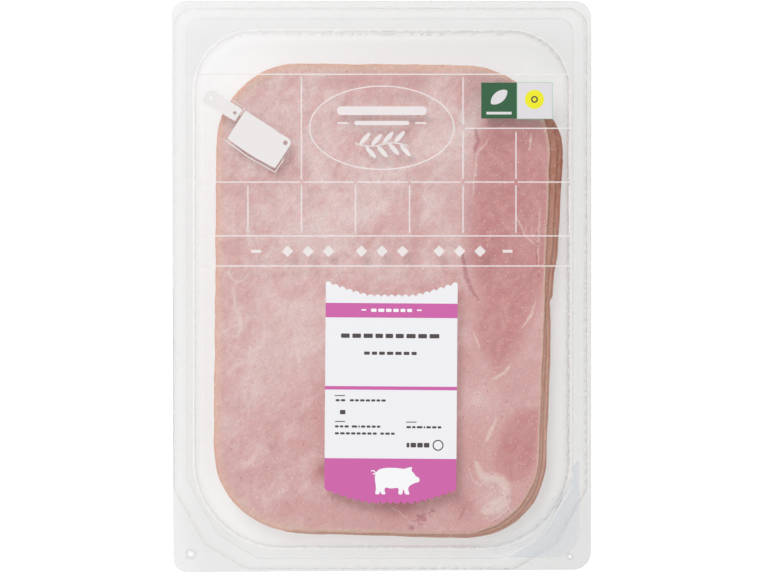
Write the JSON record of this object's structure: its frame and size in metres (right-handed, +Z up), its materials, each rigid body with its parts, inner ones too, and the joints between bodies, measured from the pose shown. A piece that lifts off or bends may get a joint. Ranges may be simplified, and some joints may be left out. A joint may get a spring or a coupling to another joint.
{
  "type": "pack of sliced smoked ham",
  "caption": "Flat clear sealed tray of thin smoked ham slices, with a clear lid film over its flange and a small paper label on the film.",
  "frame": {"origin": "middle of the pack on the surface that it lies on", "axes": "+Z up out of the lid film, +Y towards the top of the pack as its label reads, +X to the label's right"},
  "size_m": [0.1452, 0.1976, 0.0163],
  "materials": {
    "tray_plastic": "clear formed plastic, glossy",
    "film_plastic": "clear printed film, glossy",
    "label_paper": "coated white paper printed in magenta and dark brown",
    "ham": "moist pink cured meat with a beige rim"
  },
  "bodies": {
    "root": {"tray": "tray_plastic", "lid_film": "film_plastic", "label": "label_paper", "ham_slice_1": "ham", "ham_slice_2": "ham", "ham_slice_3": "ham", "ham_slice_4": "ham", "ham_slice_5": "ham", "ham_slice_6": "ham", "ham_slice_7": "ham"}
  },
  "joints": []
}
